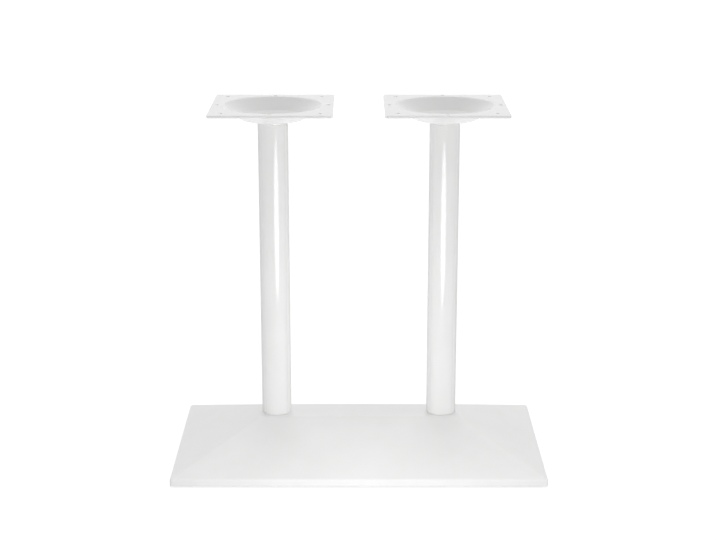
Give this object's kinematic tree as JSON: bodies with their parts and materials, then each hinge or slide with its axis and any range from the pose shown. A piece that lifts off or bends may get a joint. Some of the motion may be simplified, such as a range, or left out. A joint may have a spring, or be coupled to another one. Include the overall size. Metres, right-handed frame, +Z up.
{
  "type": "table frame",
  "caption": "White steel table base: hipped sheet-metal foot, round columns and square dished top plates with screw holes for a table top.",
  "frame": {"origin": "centre of the base on the floor", "axes": "+X along the length of the base, -Y to the front, +Z up towards the table top"},
  "size_m": [0.745, 0.415, 0.725],
  "materials": {
    "white_coat": "satin",
    "black_coat": "matte",
    "zinc_steel": "satin",
    "glide_plastic": "matte"
  },
  "bodies": {
    "root": {"base_cover": "white_coat", "ballast_plate": "black_coat", "left_column": "white_coat", "left_top_plate": "white_coat", "left_support_tube": "black_coat", "left_column_lower_disc": "zinc_steel", "left_column_upper_disc": "zinc_steel", "left_tie_rod": "zinc_steel", "left_top_washer": "zinc_steel", "left_top_nut": "zinc_steel", "left_bottom_washer": "zinc_steel", "left_bottom_nut": "zinc_steel", "right_column": "white_coat", "right_top_plate": "white_coat", "right_support_tube": "black_coat", "right_column_lower_disc": "zinc_steel", "right_column_upper_disc": "zinc_steel", "right_tie_rod": "zinc_steel", "right_top_washer": "zinc_steel", "right_top_nut": "zinc_steel", "right_bottom_washer": "zinc_steel", "right_bottom_nut": "zinc_steel", "front_left_glide": "glide_plastic", "front_right_glide": "glide_plastic", "back_left_glide": "glide_plastic", "back_right_glide": "glide_plastic", "glide_screws": "zinc_steel"}
  },
  "joints": []
}
